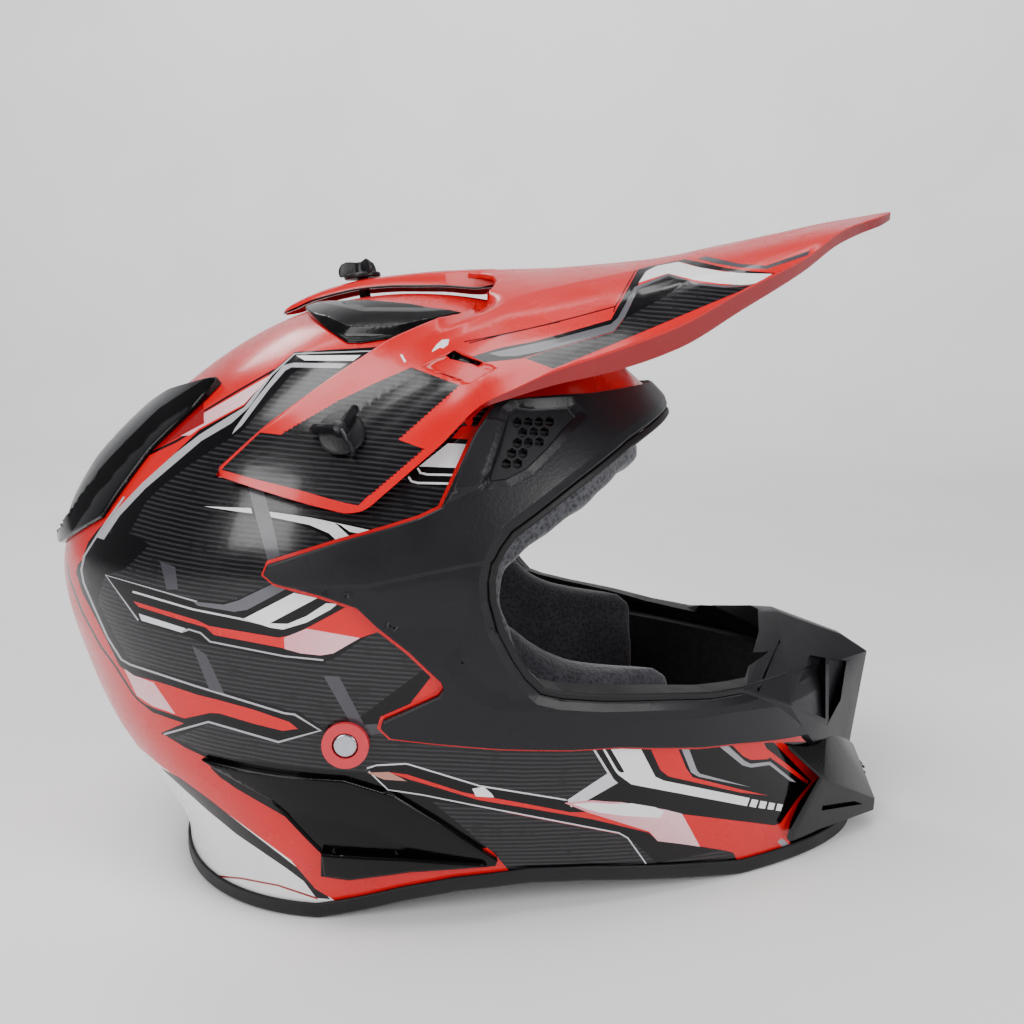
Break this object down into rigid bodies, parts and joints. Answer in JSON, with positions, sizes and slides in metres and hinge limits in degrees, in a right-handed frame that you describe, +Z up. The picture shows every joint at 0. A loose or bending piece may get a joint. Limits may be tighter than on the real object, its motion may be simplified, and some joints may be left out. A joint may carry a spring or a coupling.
{
  "type": "motorcycle helmet",
  "caption": "Off-road full-face helmet with a tall chin bar, open eye port, angled sun peak on hand screws, padded lining and a double ring chin strap.",
  "frame": {"origin": "bottom centre of the bounding box, on the plane the helmet rests on", "axes": "+Z up, -Y the way the helmet faces, +X the wearer's left; X is the mirror direction"},
  "size_m": [0.257, 0.3698, 0.2786],
  "materials": {
    "shell_gloss": "gloss lacquer",
    "peak_gloss": "gloss lacquer",
    "gloss_black": "gloss",
    "matte_black": "fine grained satin",
    "mesh_black": "satin",
    "edge_rubber": "matte",
    "foam": "beaded foam",
    "lining_fabric": "knitted",
    "pad_plate": "satin",
    "webbing": "woven",
    "knob_black": "moulded satin",
    "brass_insert": "turned",
    "rivet_steel": "polished head",
    "ring_steel": "polished wire",
    "cup_red": "satin"
  },
  "bodies": {
    "helmet": {"outer_shell": "shell_gloss", "base_trim": "edge_rubber", "eps_liner_crown": "foam", "eps_chin_bar": "foam", "crown_pad": "lining_fabric", "neck_roll": "lining_fabric", "cheek_pad_left": "lining_fabric", "cheek_pad_right": "lining_fabric", "cheek_plate_left": "pad_plate", "cheek_plate_right": "pad_plate", "face_surround": "matte_black", "eye_port_gasket": "edge_rubber", "brow_vent_mesh_left": "mesh_black", "brow_vent_mesh_right": "mesh_black", "crown_vent_left": "gloss_black", "crown_vent_right": "gloss_black", "lower_vent_left": "gloss_black", "lower_vent_right": "gloss_black", "rear_vent": "gloss_black", "nose_guard": "matte_black", "mouth_vent_body": "gloss_black", "mouth_vent_mesh": "mesh_black", "screw_nuts": "brass_insert", "strap_rivets": "rivet_steel", "rivet_rings": "cup_red"},
    "peak": {"peak": "peak_gloss"},
    "side_screw_left": {"side_screw_left": "knob_black"},
    "side_screw_right": {"side_screw_right": "knob_black"},
    "top_screw": {"top_screw": "knob_black"},
    "strap_left": {"chin_strap_left": "webbing", "strap_eyelet_left": "rivet_steel"},
    "strap_right": {"chin_strap_right": "webbing", "strap_eyelet_right": "rivet_steel"},
    "d_ring_outer": {"d_ring_outer": "ring_steel"},
    "d_ring_inner": {"d_ring_inner": "ring_steel"}
  },
  "joints": [
    {"name": "peak_tilt", "type": "hinge", "parent": "helmet", "child": "peak", "pos_m": [0, 0.04225, 0.1862], "axis": [1, 0, 0], "range_deg": [-4, 4]},
    {"name": "side_screw_left_turn", "type": "hinge", "parent": "helmet", "child": "side_screw_left", "pos_m": [0.11002, 0.04223, 0.183], "axis": [0.873, 0, 0.4877], "continuous": true},
    {"name": "side_screw_right_turn", "type": "hinge", "parent": "helmet", "child": "side_screw_right", "pos_m": [-0.11002, 0.04223, 0.183], "axis": [-0.873, 0, 0.4877], "continuous": true},
    {"name": "top_screw_turn", "type": "hinge", "parent": "helmet", "child": "top_screw", "pos_m": [0, 0.04835, 0.2406], "axis": [0, 0.1191, 0.9929], "continuous": true},
    {"name": "strap_left_swing", "type": "hinge", "parent": "helmet", "child": "strap_left", "pos_m": [0.114, 0.04245, 0.0773], "axis": [1, 0, 0], "range_deg": [-18, 18]},
    {"name": "strap_right_swing", "type": "hinge", "parent": "helmet", "child": "strap_right", "pos_m": [-0.114, 0.04245, 0.0773], "axis": [1, 0, 0], "range_deg": [-18, 18]},
    {"name": "d_ring_outer_flop", "type": "hinge", "parent": "strap_left", "child": "d_ring_outer", "pos_m": [0.0245, 0.04245, 0.0162], "axis": [0, 1, 0], "range_deg": [-25, 70]},
    {"name": "d_ring_inner_flop", "type": "hinge", "parent": "strap_left", "child": "d_ring_inner", "pos_m": [0.032, 0.04245, 0.0162], "axis": [0, 1, 0], "range_deg": [-70, 0]}
  ]
}
